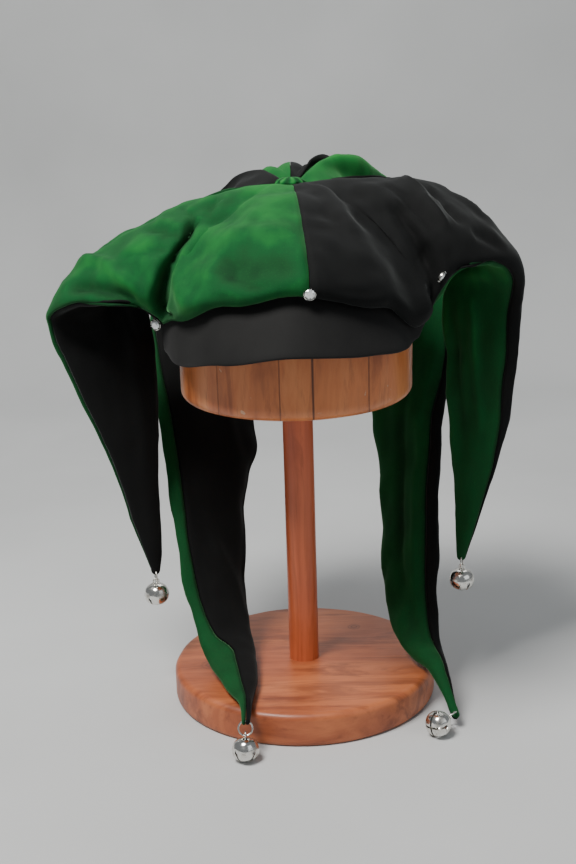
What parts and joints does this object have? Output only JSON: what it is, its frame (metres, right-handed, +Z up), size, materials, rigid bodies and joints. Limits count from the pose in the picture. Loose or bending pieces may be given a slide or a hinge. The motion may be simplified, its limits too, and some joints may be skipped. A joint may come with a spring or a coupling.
{
  "type": "jester hat on hat stand",
  "caption": "Velvet jester hat in green and black quarters with long drooping belled horns, a stiff peak and gem trims, on a turned wooden hat stand.",
  "frame": {"origin": "on the floor at the middle of the stand's round base", "axes": "+Z up, the hat's peak towards -Y, the wearer's left towards +X"},
  "size_m": [0.3311, 0.2523, 0.3956],
  "materials": {
    "green_velvet": "matt pile",
    "black_velvet": "matt pile",
    "charcoal_felt": "matt",
    "base_wood": "satin",
    "post_wood": "satin",
    "block_wood": "satin",
    "nickel": "polished",
    "crystal": "clear cut"
  },
  "bodies": {
    "root": {"stand_base": "base_wood", "stand_post": "post_wood", "stand_block": "block_wood", "panel_front_left": "green_velvet", "panel_side_left": "black_velvet", "panel_back_left": "green_velvet", "panel_front_right": "black_velvet", "panel_side_right": "green_velvet", "panel_back_right": "black_velvet", "peak": "charcoal_felt", "ring_front_left": "nickel", "ring_front_right": "nickel", "ring_back_left": "nickel", "ring_back_right": "nickel", "bell_front_left": "nickel", "bell_front_right": "nickel", "bell_back_left": "nickel", "bell_back_right": "nickel", "setting_front": "nickel", "setting_left": "nickel", "setting_right": "nickel", "stone_front": "crystal", "stone_left": "crystal", "stone_right": "crystal"}
  },
  "joints": []
}
